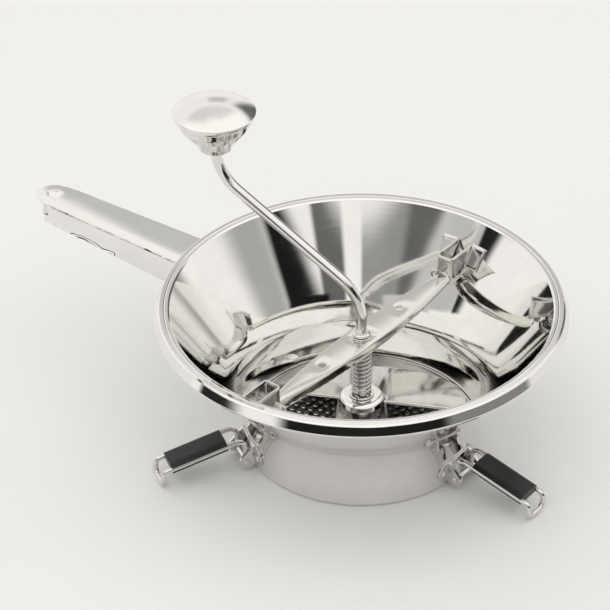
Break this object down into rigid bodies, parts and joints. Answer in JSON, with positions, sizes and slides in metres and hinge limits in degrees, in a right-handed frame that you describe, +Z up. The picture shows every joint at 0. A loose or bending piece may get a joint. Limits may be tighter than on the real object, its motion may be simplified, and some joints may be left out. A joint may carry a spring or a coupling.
{
  "type": "potato ricer",
  "caption": "Rotary food mill with a conical bowl, crank and paddle over a perforated disc, channel handle and fold-out wire supports with black pads.",
  "frame": {"origin": "centre of the drum's bottom ring, on the surface that the mill stands on", "axes": "+Z up along the shaft; the handle lies at 144 degrees from +X, the three supports at 202, 322 and 82 degrees; the -Y side faces the viewer"},
  "size_m": [0.3232, 0.2708, 0.2056],
  "materials": {
    "polished_steel": "mirror-polished stainless steel sheet with faint polishing lines",
    "satin_steel": "satin stainless steel, soft reflections",
    "sieve_steel": "pressed stainless steel, slightly duller than the bowl",
    "sheet_steel": "pressed stainless steel strip, semi-bright",
    "rod_steel": "bright drawn stainless wire",
    "spring_steel": "bright spring wire",
    "bush_plastic": "dark nylon",
    "pad_rubber": "smooth black moulded pad"
  },
  "bodies": {
    "root": {"bowl": "polished_steel", "sieve_disc": "sieve_steel", "handle": "polished_steel", "strap_clip_front": "sheet_steel", "strap_clip_back": "sheet_steel", "hinge_bracket_1": "sheet_steel", "hinge_bracket_2": "sheet_steel", "hinge_bracket_3": "sheet_steel", "bracket_rivets": "sheet_steel", "hinge_pin_1": "sheet_steel", "hinge_pin_2": "sheet_steel", "hinge_pin_3": "sheet_steel"},
    "strap": {"strap": "polished_steel", "strap_bush": "rod_steel", "upper_spring_washer": "rod_steel", "pressure_spring": "spring_steel"},
    "spring_seat": {"lower_spring_washer": "rod_steel"},
    "crank": {"crank_rod": "rod_steel", "crank_collar": "rod_steel", "paddle_hub": "polished_steel", "paddle": "polished_steel", "hub_pin": "rod_steel", "knob_retainer": "rod_steel"},
    "knob": {"knob_bush": "bush_plastic", "knob_cup": "polished_steel", "knob_cap": "satin_steel"},
    "support_1": {"support_wire_1": "rod_steel", "support_pad_1": "pad_rubber"},
    "support_2": {"support_wire_2": "rod_steel", "support_pad_2": "pad_rubber"},
    "support_3": {"support_wire_3": "rod_steel", "support_pad_3": "pad_rubber"}
  },
  "joints": [
    {"name": "strap_turn", "type": "hinge", "parent": "root", "child": "strap", "pos_m": [0, 0, 0.07], "axis": [0, 0, 1], "range_deg": [-35, 0]},
    {"name": "crank_lift", "type": "slide", "parent": "strap", "child": "spring_seat", "axis": [0, 0, 1], "range_m": [0, 0.008], "stiffness_N_per_m": 1500, "springref_m": -0.014, "deforming": ["pressure_spring"]},
    {"name": "crank_spin", "type": "hinge", "parent": "spring_seat", "child": "crank", "pos_m": [0, 0, 0.05], "axis": [0, 0, 1], "continuous": true},
    {"name": "knob_spin", "type": "hinge", "parent": "crank", "child": "knob", "pos_m": [-0.08338, 0.03888, 0.19], "axis": [0, 0, 1], "continuous": true},
    {"name": "support_fold_1", "type": "hinge", "parent": "root", "child": "support_1", "pos_m": [-0.07047, -0.02847, 0.006], "axis": [0.3746, -0.9272, 0], "range_deg": [0, 160]},
    {"name": "support_fold_2", "type": "hinge", "parent": "root", "child": "support_2", "pos_m": [0.05989, -0.04679, 0.006], "axis": [0.6157, 0.788, 0], "range_deg": [0, 160]},
    {"name": "support_fold_3", "type": "hinge", "parent": "root", "child": "support_3", "pos_m": [0.01058, 0.07526, 0.006], "axis": [-0.9903, 0.1392, 0], "range_deg": [0, 160]}
  ]
}
